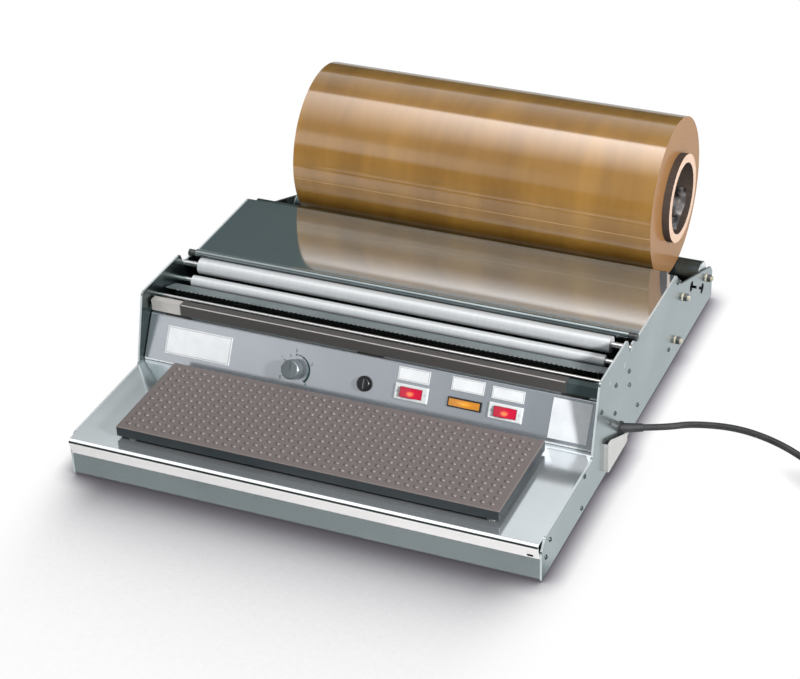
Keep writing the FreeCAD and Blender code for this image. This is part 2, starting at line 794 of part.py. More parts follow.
def grommet():
    """Rubber bush in the right side panel, with a short sleeve that leads the cord to the back."""
    heading = cord_heading()
    neck = rod(cord_y, cord_z, grommet_radius, inner, half)
    flange = rod(cord_y, cord_z, grommet_flange, half, half + grommet_thick)
    inside = rod(cord_y, cord_z, grommet_flange, inner - grommet_thick, inner)
    foot = V(half, cord_y, cord_z)
    sleeve = Part.makeCone(cord_radius + sleeve_foot_wall, cord_radius + sleeve_tip_wall, sleeve_length, foot, heading)
    sleeve = sleeve.cut(block(inner, half, cord_y - 20, cord_y + 20, cord_z - 20, cord_z + 20))
    entry = rod(cord_y, cord_z, cord_radius, inner - grommet_thick, half)
    way_out = Part.makeCylinder(cord_radius, sleeve_length, foot, heading)
    return neck.fuse([flange, inside, sleeve]).cut([entry, way_out])


def cord_guard():
    """Pressed cover in front of the cord's way out: a shallow pocket, open along its sloping top."""
    front = cord_y - guard_ahead
    back = cord_y + guard_behind
    low = floor_gap + guard_lift
    edge = guard_sheet
    outer = [(front, low, 3), (front, guard_front_top, 4), (front + 8, guard_front_top, 4),
             (back, guard_back_top, 2), (back, low, 3)]
    hollow = [(front + edge, low + edge), (front + edge, guard_front_top + 20),
              (back - edge, guard_front_top + 20), (back - edge, low + edge)]
    shell = slab(outer, half, half + guard_proud)
    return shell.cut(slab(hollow, half, half + guard_proud - edge))


def terminal_block():
    """Row of screw terminals on the floor sheet."""
    base = block(terminal_x - 22, terminal_x + 22, terminal_y - 9, terminal_y + 9, floor_top, floor_top + 14)
    wells = [centred(5, 5, floor_top + 8, floor_top + 14).translate(V(terminal_x + x, terminal_y + y, 0))
             for x in (-15, -5, 5, 15) for y in (-4.5, 4.5)]
    return base.cut(wells)


def cord_tube(points, name):
    """Round cord along its points, with each corner as an arc that touches both runs."""
    edges = []
    start = points[0]
    for index in range(1, len(points) - 1):
        corner = points[index]
        back = unit(points[index - 1] - corner)
        ahead = unit(points[index + 1] - corner)
        turn = math.pi - back.getAngle(ahead)
        run = min((points[index - 1] - corner).Length, (points[index + 1] - corner).Length)
        reach = 0.45 * run
        radius = reach / math.tan(turn / 2)
        centre = corner + unit(back + ahead) * math.hypot(radius, reach)
        middle = centre + unit(corner - centre) * radius
        print(name, "corner", index, "radius %.1f" % radius)
        enter = corner + back * reach
        leave = corner + ahead * reach
        edges.append(Part.LineSegment(start, enter).toShape())
        edges.append(Part.Arc(enter, middle, leave).toShape())
        start = leave
    edges.append(Part.LineSegment(start, points[-1]).toShape())
    wire = Part.Wire(edges)
    heading = points[1] - points[0]
    section = Part.Wire(Part.makeCircle(cord_radius, points[0], heading))
    tube = wire.makePipeShell([section], True, True)
    share = tube.Volume / (wire.Length * math.pi * cord_radius ** 2)
    print(name, "length %.1f" % wire.Length, "volume share %.4f" % share)
    return tube


def cord_heading():
    """Direction in which the cord leaves the side panel."""
    angle = math.radians(cord_swing)
    return V(math.cos(angle), math.sin(angle), 0)


def cord_points():
    """Places of the cord from its sleeve to the coil and on to the plug, chosen from the photograph."""
    start = V(half, cord_y, cord_z) + cord_heading() * sleeve_length
    first = start + cord_heading() * 24
    lead = [start, first, V(306, 248.6, 28), V(350, 250, 27), V(394, 240, 22), V(434, 229, 12),
            V(472, coil_y + coil_turn_radius + 15, 4.4), V(coil_x - 4, coil_y + coil_side, cord_radius + 0.1)]
    side = coil_x + coil_side
    axis = plug_radius + 0.3
    tail = [V(side, coil_y - 6, cord_radius * 3), V(side, coil_y - 32, 12.6), V(side, coil_y - 56, axis),
            V(side, coil_y - 76, axis)]
    return lead, tail


def cord_coil():
    """Spare length of cord as a closed ring of its outer shape."""
    reach = cord_radius * coil_rings
    height = 2 * cord_radius * coil_layers
    ring = Part.makeCylinder(coil_turn_radius + reach, height, V(coil_x, coil_y, 0))
    return ring.cut(Part.makeCylinder(coil_turn_radius - reach, height, V(coil_x, coil_y, 0)))


def mains_plug(start):
    """Two-pin plug with a tapered neck, lying beside the coil with its pins to the front."""
    back = start.y
    forward = V(0, -1, 0)
    neck_length = plug_length - 20
    neck = Part.makeCone(plug_neck_radius, plug_radius, neck_length, V(start.x, back, start.z), forward)
    head = Part.makeCylinder(plug_radius, 20, V(start.x, back - neck_length, start.z), forward)
    front = back - plug_length
    pins = [Part.makeCylinder(plug_pin_radius, plug_pin_length, V(start.x + x, front, start.z), forward)
            for x in (-plug_pin_pitch / 2, plug_pin_pitch / 2)]
    return neck.fuse([head] + pins)


def merged(shape):
    """Merge faces that lie in one surface."""
    return shape.removeSplitter()


def build():
    os.makedirs("parts", exist_ok=True)
    save(merged(side_panel(1)), "side_panel_right")
    save(merged(side_panel(-1)), "side_panel_left")
    save(merged(tray()), "tray")
    save(merged(bottom_plate()), "bottom_plate")
    save(feet(), "feet")
    save(merged(control_fascia()), "control_fascia")
    save(hot_plate(), "hot_plate")
    save(hot_plate_heater(), "hot_plate_heater")
    save(hot_plate_spacers(), "hot_plate_spacers")

    for node, shape in zip(("thermostat_body", "thermostat_nut", "thermostat_shaft", "thermostat_knob"), dial_parts()):
        save(on_fascia(shape, dial_x), node)
    for node, shape in zip(("fuse_holder", "fuse_nut", "fuse_cap", "fuse_link"), fuse_parts()):
        save(on_fascia(shape, fuse_x), node)
    housing, rocker = rocker_parts()
    for name, x in switch_xs.items():
        save(on_fascia(housing, x), "switch_%s_housing" % name)
        save(on_fascia(rocker, x), "switch_%s_rocker" % name)
    lamp, lens = lamp_parts()
    save(on_fascia(lamp, lamp_x), "lamp_housing")
    save(on_fascia(lens, lamp_x), "lamp_lens")

    for node, shape in zip(("seal_bar", "seal_bar_cover", "seal_bar_heater", "seal_bar_blocks"), seal_bar_parts()):
        save(shape, node)
    save(rod(film_rod_y, film_rod_z, film_rod_radius, -half, half), "film_rod")
    save(well_pan(), "well_pan")
    plate, strip = blade_parts()
    save(plate, "blade_plate")
    save(strip, "cutter_blade")
    for node, shape in zip(("guide_roller_front", "guide_axle_front", "guide_roller_back", "guide_axle_back"),
                           guide_parts()):
        save(shape, node)

    save(merged(top_plate()), "top_plate")
    save(plate_rod(), "plate_rod")
    save(merged(rear_bulkhead()), "rear_bulkhead")
    save(rear_cross_member(), "rear_cross_member")
    supports = {"front": (support_front_y, support_front_z), "back": (support_back_y, support_back_z)}
    for name, (y, z) in supports.items():
        tube, hubs, axle = support_parts(y, z)
        save(tube, "support_roller_%s" % name)
        save(hubs, "support_hubs_%s" % name)
        save(axle, "support_axle_%s" % name)
    for node, shape in zip(("axle_bolts", "axle_nuts", "axle_washers"), stud_parts()):
        save(shape, node)
    save(tie_rod(), "tie_rod")
    film, core = film_parts()
    save(film, "film_roll")
    save(core, "film_core")

    save(grommet(), "cord_grommet")
    save(cord_guard(), "cord_guard")
    save(terminal_block(), "terminal_block")
    lead, tail = cord_points()
    save(Part.makeCompound([cord_tube(lead, "lead"), cord_tube(tail, "tail")]), "power_cord")
    save(cord_coil(), "cord_coil")
    save(mains_plug(tail[-1]), "mains_plug")
    print("film centre y %.3f z %.3f" % (film_y, film_z))
    print("move to origin y %.3f" % back_shift)
    print("control line y %.3f z %.3f tilt %.4f" % (
        fascia_y + control_height * math.cos(tilt), tray_top + control_height * math.sin(tilt), math.degrees(tilt)))


build()
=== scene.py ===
import json
import math
import random

import bmesh
import bpy
from mathutils import Matrix, Vector


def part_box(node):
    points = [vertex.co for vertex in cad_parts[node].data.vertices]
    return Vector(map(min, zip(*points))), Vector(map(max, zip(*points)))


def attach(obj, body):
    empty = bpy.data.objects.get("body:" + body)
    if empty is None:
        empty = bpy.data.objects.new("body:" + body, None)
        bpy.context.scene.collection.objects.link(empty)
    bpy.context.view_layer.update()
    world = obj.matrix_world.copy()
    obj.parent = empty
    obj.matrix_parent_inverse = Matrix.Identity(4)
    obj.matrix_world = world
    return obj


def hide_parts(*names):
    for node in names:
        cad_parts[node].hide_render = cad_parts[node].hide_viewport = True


# Film dispenser. Places are in millimetres from the front skirt, as in the solids, until place() turns them.

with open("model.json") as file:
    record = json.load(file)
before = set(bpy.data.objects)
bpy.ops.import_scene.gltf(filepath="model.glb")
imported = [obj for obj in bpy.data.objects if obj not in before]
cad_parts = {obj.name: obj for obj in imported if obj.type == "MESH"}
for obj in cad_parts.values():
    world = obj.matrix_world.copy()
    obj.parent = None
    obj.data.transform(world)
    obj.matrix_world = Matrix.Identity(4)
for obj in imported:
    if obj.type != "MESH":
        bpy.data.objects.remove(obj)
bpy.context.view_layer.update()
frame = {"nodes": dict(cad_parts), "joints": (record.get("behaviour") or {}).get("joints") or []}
nodes = frame["nodes"]

# From the frame: outer side of the panels, place of the skirt, top of the sealing plate and axis of the roll
panel_low, panel_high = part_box("side_panel_right")
half = panel_high.x * 1000
back_shift = panel_low.y * 1000
plate_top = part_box("hot_plate")[1].z * 1000
joint_places = {joint["name"]: joint["pos_m"] for joint in frame["joints"]}
film_y = joint_places["film_spin"][1] * 1000 - back_shift
film_z = joint_places["film_spin"][2] * 1000
film_radius = 85.0


def place(x, y, z):
    """Point in metres from millimetres measured from the front skirt."""
    return Vector((x, y + back_shift, z)) / 1000


# Camera at the photograph's viewing angle, solved from the straight edges of the machine
camera_place = (0.80904, -1.84412, 1.29952)
camera_data = bpy.data.cameras.new("camera")
camera_data.sensor_width = 36
camera_data.lens = 104.15
camera_data.clip_end = 50
camera = bpy.data.objects.new("camera", camera_data)
bpy.context.collection.objects.link(camera)
across = Vector((0.92002, 0.39059, -0.03163))
upward = Vector((-0.18271, 0.49896, 0.84715))
backward = Vector((0.34667, -0.77361, 0.53042))
turn = Matrix((across, upward, backward)).transposed()
camera.matrix_world = Matrix.Translation(camera_place) @ turn.to_4x4()
bpy.context.scene.camera = camera

# Cord: out of its sleeve, down to the table, into a neat coil and on to the plug
cord_radius = 3.3
cord_swing = math.radians(22)
cord_y = 222
cord_z = 28
sleeve_length = 22
straight_run = 24
coil_x = 520
coil_y = 167.4
coil_side = 51.5
heading = Vector((math.cos(cord_swing), math.sin(cord_swing), 0))
exit_point = Vector((half, cord_y, cord_z)) + heading * sleeve_length
lead = [exit_point, exit_point + heading * straight_run, (306, 250, 30), (350, 256, 32), (394, 249, 29),
        (434, 236, 19), (472, coil_y + 53, 4.4), (coil_x - 4, coil_y + coil_side, cord_radius + 0.1)]

# The coil winds inward in its lower layer, rises over half a turn and winds outward in its upper layer
turns = []
coil_sweep = 1855
coil_step = 20
coil_start = 70
coil_outer = 46.5
coil_lift = 0.05
rise_half = 90
layer_sweep = (coil_sweep - 2 * rise_half) / 2
for count in range(0, coil_sweep + 1, coil_step):
    inward = min(count, coil_sweep - count, layer_sweep)
    radius = coil_outer - inward / 360 * 2 * cord_radius
    rise = min(max((count - layer_sweep) / (2 * rise_half), 0), 1)
    angle = math.radians(coil_start - count)
    turns.append((coil_x + radius * math.cos(angle), coil_y + radius * math.sin(angle),
                  cord_radius * (1 + 2 * rise) + coil_lift))
side = coil_x + coil_side
tail = [(side, coil_y - 6, 9.9), (side, coil_y - 32, 12.6), (side, coil_y - 56, 18.3),
        (side, coil_y - 76, 18.3)]
cord_curve = bpy.data.curves.new("mains_cord", "CURVE")
cord_curve.dimensions = "3D"
cord_curve.bevel_depth = 1
cord_curve.bevel_resolution = 6
cord_curve.resolution_u = 8
spline = cord_curve.splines.new("NURBS")
route = [place(*point) for point in lead + turns + tail]
spline.points.add(len(route) - 1)
for point, target in zip(spline.points, route):
    point.co = (*target, 1)
    point.radius = cord_radius / 1000
spline.order_u = 3
spline.use_endpoint_u = True
cord = bpy.data.objects.new("mains_cord", cord_curve)
bpy.context.collection.objects.link(cord)
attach(cord, "chassis")
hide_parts("power_cord", "cord_coil")


# Materials
def new_material(name, colour, metallic=0.0, roughness=0.5, **sockets):
    """Principled material with constant values on the shader's own sockets."""
    made = bpy.data.materials.new(name)
    made.use_nodes = True
    shader = made.node_tree.nodes["Principled BSDF"]
    shader.inputs["Base Color"].default_value = (*colour, 1)
    shader.inputs["Metallic"].default_value = metallic
    shader.inputs["Roughness"].default_value = roughness
    for key, value in sockets.items():
        shader.inputs[key.replace("_", " ")].default_value = value
    return made, made.node_tree, shader


def node(tree, kind, values=None, **settings):
    """New node with some of its inputs and settings given."""
    made = tree.nodes.new(kind)
    for key, value in settings.items():
        setattr(made, key, value)
    for key, value in (values or {}).items():
        made.inputs[key].default_value = value
    return made


def stretched(tree, scale):
    """Object coordinates, stretched so that a texture runs along one direction."""
    source = node(tree, "ShaderNodeTexCoord")
    mapping = node(tree, "ShaderNodeMapping", {"Scale": scale})
    tree.links.new(source.outputs["Object"], mapping.inputs["Vector"])
    return mapping.outputs["Vector"]


def noise(tree, vector, scale, detail):
    """Noise from 0 to 1 along a vector."""
    made = node(tree, "ShaderNodeTexNoise", {"Scale": scale, "Detail": detail, "Roughness": 0.6})
    tree.links.new(vector, made.inputs["Vector"])
    return made.outputs["Fac"]


def ramp(tree, value, stops):
    """Colours or greys against a value; each stop is (place, (r, g, b))."""
    made = node(tree, "ShaderNodeValToRGB")
    elements = made.color_ramp.elements
    while len(elements) < len(stops):
        elements.new(0.5)
    for element, (spot, colour) in zip(elements, stops):
        element.position = spot
        element.color = (*colour, 1)
    tree.links.new(value, made.inputs["Fac"])
    return made.outputs["Color"]


def spread(tree, value, low, high, start=0.0, end=1.0, smooth=False):
    """Value moved from the range start to end into the range low to high."""
    made = node(tree, "ShaderNodeMapRange",
                {"From Min": start, "From Max": end, "To Min": low, "To Max": high})
    if smooth:
        made.interpolation_type = "SMOOTHSTEP"
    tree.links.new(value, made.inputs["Value"])
    return made.outputs["Result"]


def combined(tree, operation, first, second):
    """Result of a maths operation on two values; each is a socket or a number."""
    made = node(tree, "ShaderNodeMath", operation=operation)
    for index, value in enumerate((first, second)):
        if isinstance(value, (int, float)):
            made.inputs[index].default_value = value
        else:
            tree.links.new(value, made.inputs[index])
    return made.outputs["Value"]


def mixed(tree, share, first, second):
    """Colour between two colours; each is a socket or (r, g, b)."""
    made = node(tree, "ShaderNodeMix", data_type="RGBA")
    tree.links.new(share, made.inputs["Factor"])
    for slot_index, value in ((6, first), (7, second)):
        if isinstance(value, tuple):
            made.inputs[slot_index].default_value = (*value, 1)
        else:
            tree.links.new(value, made.inputs[slot_index])
    return made.outputs[2]


def bump(tree, shader, value, strength, distance=0.0002):
    """Fine relief of a height value on the shader's normal."""
    made = node(tree, "ShaderNodeBump", {"Strength": strength, "Distance": distance})
    tree.links.new(value, made.inputs["Height"])
    tree.links.new(made.outputs["Normal"], shader.inputs["Normal"])


def sheet_steel(name, dark, light, low, high, grain=(4, 60, 60), strength=0.04, metallic=1.0):
    """Rolled stainless sheet: cloudy tone between two colours and fine grain in one direction."""
    made, tree, shader = new_material(name, light, metallic, (low + high) / 2)
    clouds = noise(tree, stretched(tree, (1, 1, 1)), 9, 3)
    tree.links.new(ramp(tree, clouds, [(0.3, dark), (0.7, light)]), shader.inputs["Base Color"])
    lines = noise(tree, stretched(tree, grain), 40, 3)
    tree.links.new(spread(tree, lines, low, high), shader.inputs["Roughness"])
    bump(tree, shader, lines, strength, 0.0001)
    return made


def turned_metal(name, dark, light, low, high, pitch=1500, metallic=1.0):
    """Turned or drawn metal: fine rings round the X axis."""
    made, tree, shader = new_material(name, light, metallic, (low + high) / 2)
    rings = noise(tree, stretched(tree, (pitch, 6, 6)), 1, 4)
    tree.links.new(ramp(tree, rings, [(0.3, dark), (0.7, light)]), shader.inputs["Base Color"])
    tree.links.new(spread(tree, rings, low, high), shader.inputs["Roughness"])
    bump(tree, shader, rings, 0.02, 0.0001)
    return made


def moulded(name, dark, light, roughness, grain=900.0, strength=0.08, **sockets):
    """Moulded plastic or rubber: slight tone change and a fine grain."""
    made, tree, shader = new_material(name, light, 0.0, roughness, **sockets)
    source = stretched(tree, (1, 1, 1))
    clouds = noise(tree, source, 60, 3)
    tree.links.new(ramp(tree, clouds, [(0.3, dark), (0.7, light)]), shader.inputs["Base Color"])
    bump(tree, shader, noise(tree, source, grain, 2), strength, 0.0001)
    return made


# Metals, each with its darker and its lighter tone and the range of its roughness
panel_steel = sheet_steel("panel_steel", (0.40, 0.45, 0.46), (0.48, 0.53, 0.54), 0.16, 0.26, (60, 4, 60),
                          0.03, 0.92)
tray_steel = sheet_steel("tray_steel", (0.66, 0.70, 0.72), (0.74, 0.78, 0.80), 0.10, 0.18, (4, 60, 60),
                         0.02, 0.85)
fascia_steel = sheet_steel("fascia_steel", (0.51, 0.55, 0.59), (0.57, 0.61, 0.655), 0.18, 0.26, strength=0.03,
                           metallic=0.84)
mirror_steel = sheet_steel("mirror_steel", (0.58, 0.66, 0.74), (0.64, 0.72, 0.80), 0.05, 0.10, (4, 60, 60),
                           0.02, 0.92)
# Painted dark reflection and shade for the top plate's curl and rear bend
curl_painted_reflection = sheet_steel("curl_painted_reflection", (0.20, 0.24, 0.25), (0.30, 0.35, 0.36), 0.14, 0.22)
# Painted light: pale steel for the bevel under the tray's nose
bevel_painted_light = sheet_steel("bevel_painted_light", (0.84, 0.81, 0.80), (0.90, 0.87, 0.86), 0.25, 0.4, metallic=0.2)
# Painted shade: darker steel for the inner sides of the side panels
panel_inner_shade = sheet_steel("panel_inner_shade", (0.13, 0.17, 0.165), (0.19, 0.24, 0.235), 0.2, 0.35)
# Painted highlight: pale steel for the tray's rolled edge and the control panel's front faces
highlight_steel = sheet_steel("highlight_steel", (0.80, 0.83, 0.84), (0.88, 0.90, 0.91), 0.3, 0.45, metallic=0.3)
roll_shade = sheet_steel("roll_shade", (0.01, 0.014, 0.014), (0.02, 0.026, 0.026), 0.3, 0.4, metallic=0.3)
# Painted highlight on the side panels' cut edges, and the silver of the roller hubs
edge_highlight_and_hub_silver = sheet_steel("edge_highlight_and_hub_silver", (0.56, 0.61, 0.62), (0.64, 0.69, 0.70), 0.3, 0.45, metallic=0.4)
guard_steel = sheet_steel("guard_steel", (0.42, 0.41, 0.39), (0.52, 0.51, 0.49), 0.2, 0.3, metallic=0.5)
# Painted shade: near black steel for the sides of the sealing plate
plate_side_shade = sheet_steel("plate_side_shade", (0.035, 0.045, 0.05), (0.06, 0.07, 0.075), 0.35, 0.5, metallic=0.6)
# Painted shade: dark steel for the bottom plate, rear bulkhead and rear cross member inside the machine
inner_shade_steel = sheet_steel("inner_shade_steel", (0.10, 0.115, 0.115), (0.15, 0.165, 0.165), 0.25, 0.4)
dark_steel = sheet_steel("dark_steel", (0.006, 0.007, 0.008), (0.014, 0.015, 0.016), 0.35, 0.5, metallic=0.3)
zinc_steel = sheet_steel("zinc_steel", (0.17, 0.21, 0.22), (0.29, 0.33, 0.34), 0.4, 0.6, (30, 30, 30), 0.3,
                         0.7)
blade_steel = sheet_steel("blade_steel", (0.3, 0.33, 0.33), (0.4, 0.43, 0.43), 0.2, 0.35)
roller_aluminium = turned_metal("roller_aluminium", (0.53, 0.55, 0.56), (0.58, 0.60, 0.61), 0.34, 0.40, 900,
                                0.35)
roller_zinc = turned_metal("roller_zinc", (0.08, 0.11, 0.115), (0.11, 0.145, 0.15), 0.3, 0.42)
bright_steel = turned_metal("bright_steel", (0.6, 0.61, 0.62), (0.74, 0.75, 0.76), 0.12, 0.22)
bolt_metal = turned_metal("bolt_metal", (0.08, 0.085, 0.085), (0.14, 0.15, 0.15), 0.3, 0.5, 300)
brass_metal = turned_metal("brass_metal", (0.52, 0.46, 0.34), (0.70, 0.64, 0.50), 0.3, 0.45, 300, 0.6)
knob_metal = turned_metal("knob_metal", (0.15, 0.175, 0.185), (0.23, 0.26, 0.27), 0.25, 0.4, 200, 0.6)
screw_metal = turned_metal("screw_metal", (0.09, 0.10, 0.10), (0.18, 0.19, 0.19), 0.25, 0.4, 300)

# Plastics, rubbers, ceramic and print
black_plastic = moulded("black_plastic", (0.008, 0.008, 0.009), (0.016, 0.016, 0.018), 0.3)
black_rubber = moulded("black_rubber", (0.012, 0.012, 0.013), (0.024, 0.024, 0.026), 0.45)
foot_rubber = moulded("foot_rubber", (0.014, 0.014, 0.014), (0.025, 0.025, 0.025), 0.7)
white_plastic = moulded("white_plastic", (0.54, 0.57, 0.57), (0.62, 0.65, 0.65), 0.3, 700, 0.03)
white_plate = moulded("white_plate", (0.62, 0.635, 0.645), (0.69, 0.705, 0.715), 0.35, 400, 0.03)
silver_plate = moulded("silver_plate", (0.56, 0.58, 0.6), (0.64, 0.66, 0.68), 0.35, 400, 0.03)
# Painted shade: near black blocks in the gap under the heated bar
bar_block_shade = moulded("bar_block_shade", (0.02, 0.018, 0.016), (0.035, 0.03, 0.027), 0.6)
ceramic = moulded("ceramic", (0.66, 0.63, 0.57), (0.76, 0.73, 0.67), 0.6, 1500, 0.15)
heater_mat = moulded("heater_mat", (0.2, 0.05, 0.02), (0.3, 0.08, 0.04), 0.6)
print_black = moulded("print_black", (0.01, 0.03, 0.026), (0.016, 0.045, 0.038), 0.4)
print_grey = moulded("print_grey", (0.12, 0.13, 0.13), (0.18, 0.19, 0.19), 0.5)


def fibre_board(name, dark, light):
    """Wound board: fine fibres along the tube."""
    made, tree, shader = new_material(name, light, 0.0, 0.8)
    fibres = noise(tree, stretched(tree, (40, 200, 200)), 3, 6)
    tree.links.new(ramp(tree, fibres, [(0.3, dark), (0.7, light)]), shader.inputs["Base Color"])
    bump(tree, shader, fibres, 0.2)
    return made


board = fibre_board("core_board", (0.38, 0.26, 0.19), (0.55, 0.40, 0.31))
# Painted shade: dark board for the round faces of the film core and its bore
core_shade_board = fibre_board("core_painted_shade", (0.03, 0.02, 0.015), (0.06, 0.04, 0.03))


def glowing(name, edge, centre, glow, size, ridge):
    """Translucent coloured plastic with its little lamp behind the middle."""
    made, tree, shader = new_material(name, edge, 0.0, 0.22, Coat_Weight=0.4)
    source = node(tree, "ShaderNodeTexCoord")
    middle = node(tree, "ShaderNodeMapping", {"Location": (-0.5, 0, -0.6), "Scale": (1, 0, 1)})
    tree.links.new(source.outputs["Generated"], middle.inputs["Vector"])
    spot = node(tree, "ShaderNodeVectorMath", operation="LENGTH")
    tree.links.new(middle.outputs["Vector"], spot.inputs[0])
    shade = ramp(tree, spot.outputs["Value"], [(0.0, centre), (size, edge), (0.8, ridge)])
    tree.links.new(shade, shader.inputs["Base Color"])
    tree.links.new(shade, shader.inputs["Emission Color"])
    shader.inputs["Emission Strength"].default_value = glow
    bump(tree, shader, noise(tree, stretched(tree, (1, 1, 1)), 600, 2), 0.05)
    return made


red_rocker = glowing("red_rocker", (0.42, 0.006, 0.03), (1.0, 0.26, 0.08), 0.25, 0.2, (0.30, 0.002, 0.02))
amber_lens = glowing("amber_lens", (0.50, 0.19, 0.02), (0.76, 0.34, 0.04), 0.15, 0.3, (0.36, 0.17, 0.03))

# Non-stick coat of the sealing plate: warm grey with a fine speckle
plate_coat, tree, shader = new_material("plate_coat", (0.14, 0.12, 0.115), 0.0, 0.42)
source = stretched(tree, (1, 1, 1))
speckle = noise(tree, source, 1400, 2)
tree.links.new(ramp(tree, speckle, [(0.35, (0.115, 0.095, 0.09)), (0.65, (0.16, 0.135, 0.13))]),
               shader.inputs["Base Color"])
tree.links.new(spread(tree, noise(tree, source, 30, 3), 0.36, 0.5), shader.inputs["Roughness"])
bump(tree, shader, speckle, 0.15, 0.0001)

dot_coat = moulded("dot_coat", (0.115, 0.10, 0.095), (0.145, 0.125, 0.12), 0.4, 1400, 0.1, Coat_Weight=0.7,
                   Coat_Roughness=0.3)

# Heated bar: painted reflection, bright at its left end and dark towards the right
bar_painted_reflection, tree, shader = new_material("bar_painted_reflection", (0.6, 0.56, 0.54), 0.5, 0.25)
bar_place = node(tree, "ShaderNodeSeparateXYZ")
tree.links.new(stretched(tree, (1, 1, 1)), bar_place.inputs["Vector"])
along_bar = spread(tree, bar_place.outputs["X"], 0, 1, -0.1, 0.1)
grain = noise(tree, stretched(tree, (6, 60, 60)), 20, 3)
painted_bright_end = ramp(tree, grain, [(0.3, (0.60, 0.56, 0.53)), (0.7, (0.72, 0.68, 0.65))])
tree.links.new(mixed(tree, along_bar, painted_bright_end, (0.07, 0.10, 0.105)), shader.inputs["Base Color"])
bump(tree, shader, grain, 0.04, 0.0001)

# Woven sealing tape on the heated bar
tape, tree, shader = new_material("sealing_tape", (0.08, 0.075, 0.07), 0.0, 0.5)
source = stretched(tree, (1, 1, 1))
warp = node(tree, "ShaderNodeTexWave", {"Scale": 500, "Distortion": 2, "Detail": 2}, bands_direction="X")
weft = node(tree, "ShaderNodeTexWave", {"Scale": 500, "Distortion": 2, "Detail": 2}, bands_direction="Z")
tree.links.new(source, warp.inputs["Vector"])
tree.links.new(source, weft.inputs["Vector"])
weave = combined(tree, "MULTIPLY", warp.outputs["Fac"], weft.outputs["Fac"])
patches = noise(tree, source, 60, 4)
threads = ramp(tree, weave, [(0.1, (0.035, 0.038, 0.038)), (0.7, (0.085, 0.085, 0.082))])
tree.links.new(mixed(tree, patches, threads, (0.06, 0.052, 0.048)), shader.inputs["Base Color"])
bump(tree, shader, weave, 0.3)

# Painted highlight: pale colour of the strip along the tape's front top edge
tape_pale_highlight = moulded("tape_pale_highlight", (0.36, 0.33, 0.32), (0.48, 0.45, 0.44), 0.4, 500, 0.1)

# Film wound in layers: amber depth, fine streaks round the roll, layer lines on its ends and a glossy skin
film, tree, shader = new_material("film_wound", (0.36, 0.18, 0.05), 0.0, 0.45, Coat_Weight=1.0,
                                  Coat_Roughness=0.1, Coat_IOR=2.3, Specular_IOR_Level=0.2)
fine = noise(tree, stretched(tree, (700, 3, 3)), 1, 5)
broad = noise(tree, stretched(tree, (25, 6, 6)), 1, 3)
skin = ramp(tree, broad, [(0.3, (0.20, 0.096, 0.016)), (0.7, (0.31, 0.155, 0.026))])
source = node(tree, "ShaderNodeTexCoord")
middle = node(tree, "ShaderNodeVectorMath", operation="SUBTRACT")
middle.inputs[1].default_value = (0, (film_y + back_shift) / 1000, film_z / 1000)
tree.links.new(source.outputs["Object"], middle.inputs[0])
flat = node(tree, "ShaderNodeVectorMath", operation="MULTIPLY")
flat.inputs[1].default_value = (0, 1, 1)
tree.links.new(middle.outputs["Vector"], flat.inputs[0])
reach = node(tree, "ShaderNodeVectorMath", operation="LENGTH")
tree.links.new(flat.outputs["Vector"], reach.inputs[0])
layers = node(tree, "ShaderNodeTexNoise", {"Scale": 900, "Detail": 3}, noise_dimensions="1D")
tree.links.new(reach.outputs["Value"], layers.inputs["W"])
end_face = ramp(tree, layers.outputs["Fac"], [(0.3, (0.20, 0.095, 0.03)), (0.7, (0.27, 0.135, 0.05))])
facing = node(tree, "ShaderNodeSeparateXYZ")
tree.links.new(source.outputs["Normal"], facing.inputs["Vector"])
on_end = spread(tree, combined(tree, "ABSOLUTE", facing.outputs["X"], 0), 0, 1, 0.5, 0.8)
tree.links.new(mixed(tree, on_end, skin, end_face), shader.inputs["Base Color"])
tree.links.new(spread(tree, on_end, 1, 0.3), shader.inputs["Coat Weight"])
bump(tree, shader, fine, 0.5, 0.0003)

# Loose film in the core, and the edge of the last turn
clear_film, tree, shader = new_material("clear_film", (0.4, 0.37, 0.36), 0.0, 0.12, Coat_Weight=1.0)
tree.links.new(ramp(tree, noise(tree, stretched(tree, (1, 1, 1)), 90, 3),
                    [(0.4, (0.015, 0.013, 0.013)), (0.72, (0.22, 0.2, 0.2))]), shader.inputs["Base Color"])
film_gloss = moulded("film_gloss", (0.30, 0.18, 0.07), (0.38, 0.24, 0.11), 0.4, 300, 0.05)

